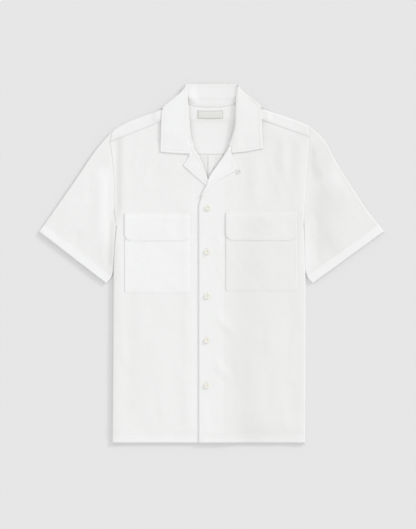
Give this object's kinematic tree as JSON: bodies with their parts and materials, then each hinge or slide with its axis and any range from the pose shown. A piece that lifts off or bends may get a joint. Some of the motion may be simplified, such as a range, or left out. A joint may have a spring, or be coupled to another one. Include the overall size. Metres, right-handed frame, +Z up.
{
  "type": "camp shirt",
  "caption": "Short-sleeved camp shirt laid flat: open notched collar, forward yoke, flapped chest pockets, button front.",
  "frame": {"origin": "centre of the overall box at the surface the shirt lies on", "axes": "+X to the viewer's right (the wearer's left), +Y from the hem to the collar, +Z up out of the surface, front side up"},
  "size_m": [0.7244, 0.7538, 0.0103],
  "materials": {
    "linen": "white plain-weave linen with fine slubs, matte, slightly sheer",
    "button": "cream four-hole shirt button, satin gloss",
    "thread": "white sewing thread",
    "label": "bare woven tape, off-white with a darker woven edge"
  },
  "bodies": {
    "root": {"back": "linen", "yoke": "linen", "collar": "linen", "front_right": "linen", "sleeve_right": "linen", "pocket_right": "linen", "flap_right": "linen", "front_left": "linen", "sleeve_left": "linen", "pocket_left": "linen", "flap_left": "linen", "button_1": "button", "button_2": "button", "button_3": "button", "button_4": "button", "button_5": "button", "button_loop": "thread", "label": "label"}
  },
  "joints": []
}
